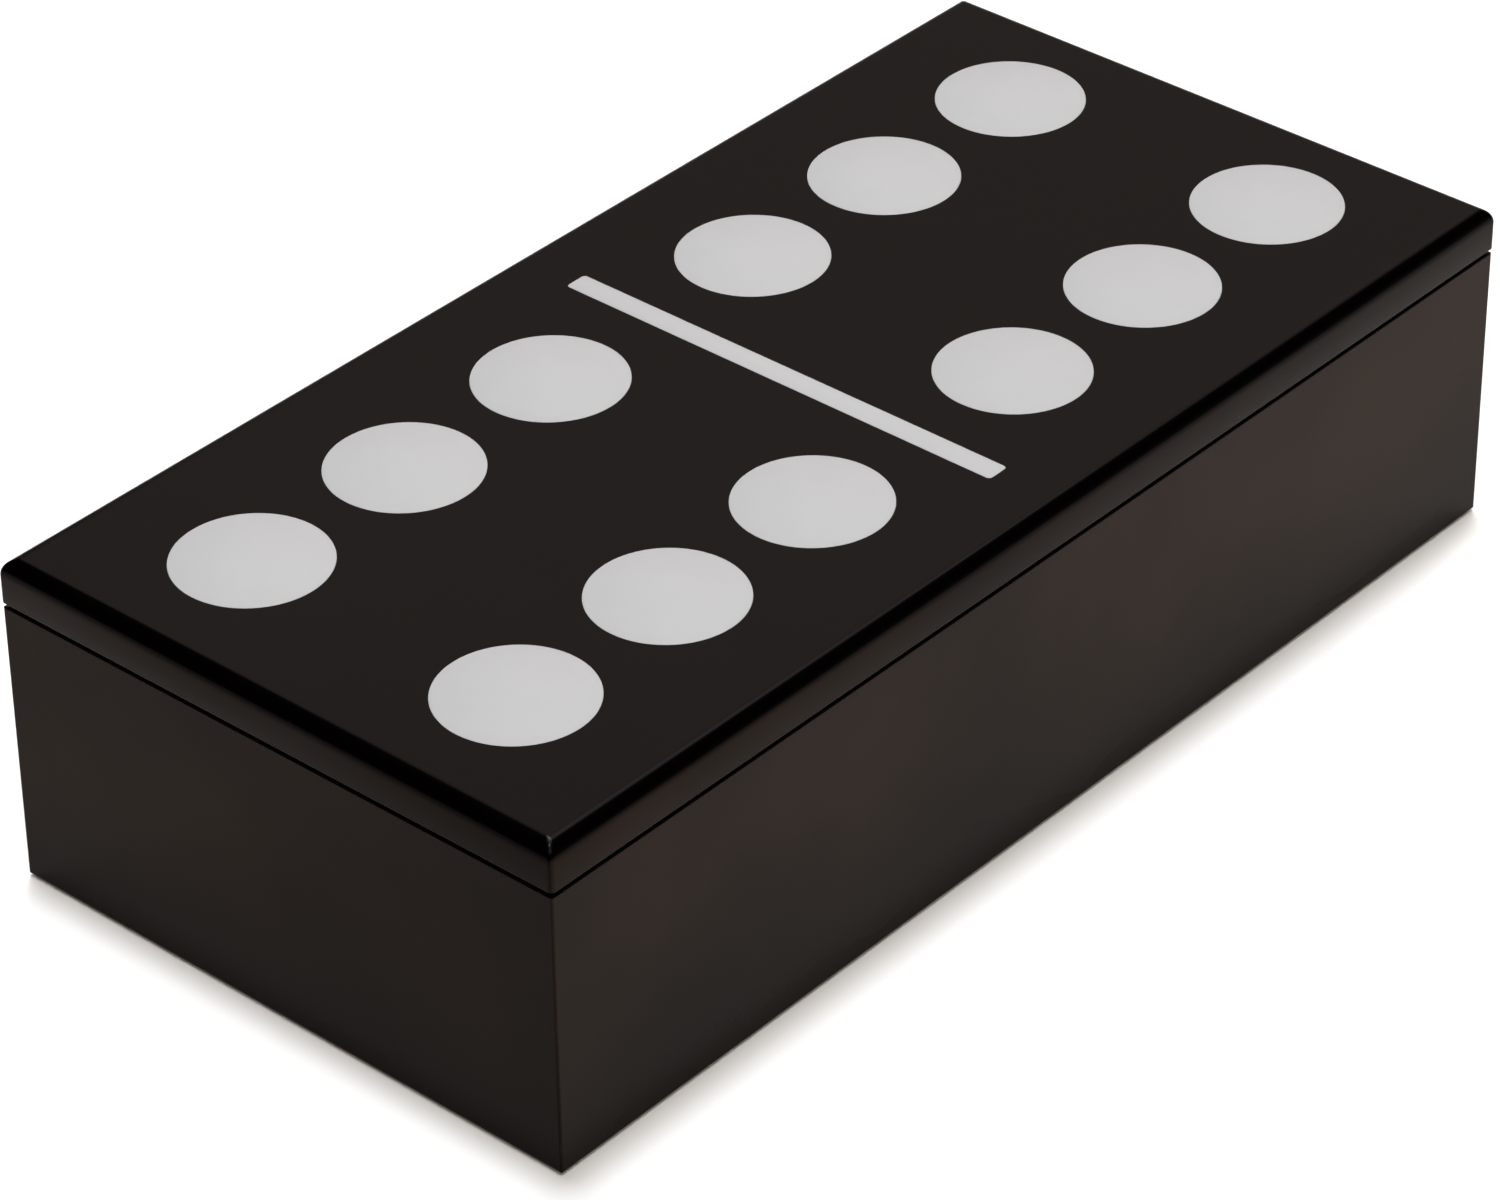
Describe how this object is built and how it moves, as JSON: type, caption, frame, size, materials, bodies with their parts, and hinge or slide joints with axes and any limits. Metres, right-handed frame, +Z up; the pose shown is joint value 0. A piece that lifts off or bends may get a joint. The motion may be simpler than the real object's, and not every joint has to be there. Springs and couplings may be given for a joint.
{
  "type": "domino storage box",
  "caption": "Long black lacquered box with a lift-off lid inlaid as a double-six domino and lined wells for the tiles.",
  "frame": {"origin": "middle of the footprint, on the surface the box stands on", "axes": "+X along the length towards the right end, +Y across towards the back, +Z up; the long side that the picture shows is the front, at -Y"},
  "size_m": [0.2696, 0.1328, 0.0701],
  "materials": {
    "black_lacquer": "MDF under rubbed satin black lacquer",
    "black_board": "MDF sealed and sprayed black",
    "pale_inlay": "pale grey, flush and rubbed satin",
    "velvet_lining": "short-pile charcoal velvet on card",
    "foot_felt": "thin black felt"
  },
  "bodies": {
    "case": {"front_wall": "black_lacquer", "back_wall": "black_lacquer", "left_wall": "black_lacquer", "right_wall": "black_lacquer", "bottom_panel": "black_board", "foot_felt": "foot_felt", "floor_lining": "velvet_lining", "front_lining": "velvet_lining", "back_lining": "velvet_lining", "left_lining": "velvet_lining", "right_lining": "velvet_lining", "long_divider": "velvet_lining", "cross_divider": "velvet_lining"},
    "lid": {"lid_board": "black_lacquer", "locating_panel": "black_board", "lid_lining": "velvet_lining", "bar_inlay": "pale_inlay", "front_pip_1": "pale_inlay", "front_pip_2": "pale_inlay", "front_pip_3": "pale_inlay", "front_pip_4": "pale_inlay", "front_pip_5": "pale_inlay", "front_pip_6": "pale_inlay", "back_pip_1": "pale_inlay", "back_pip_2": "pale_inlay", "back_pip_3": "pale_inlay", "back_pip_4": "pale_inlay", "back_pip_5": "pale_inlay", "back_pip_6": "pale_inlay"}
  },
  "joints": [
    {"name": "lid_lift", "type": "slide", "parent": "case", "child": "lid", "axis": [0, 0, 1], "range_m": [0, 0.12]}
  ]
}
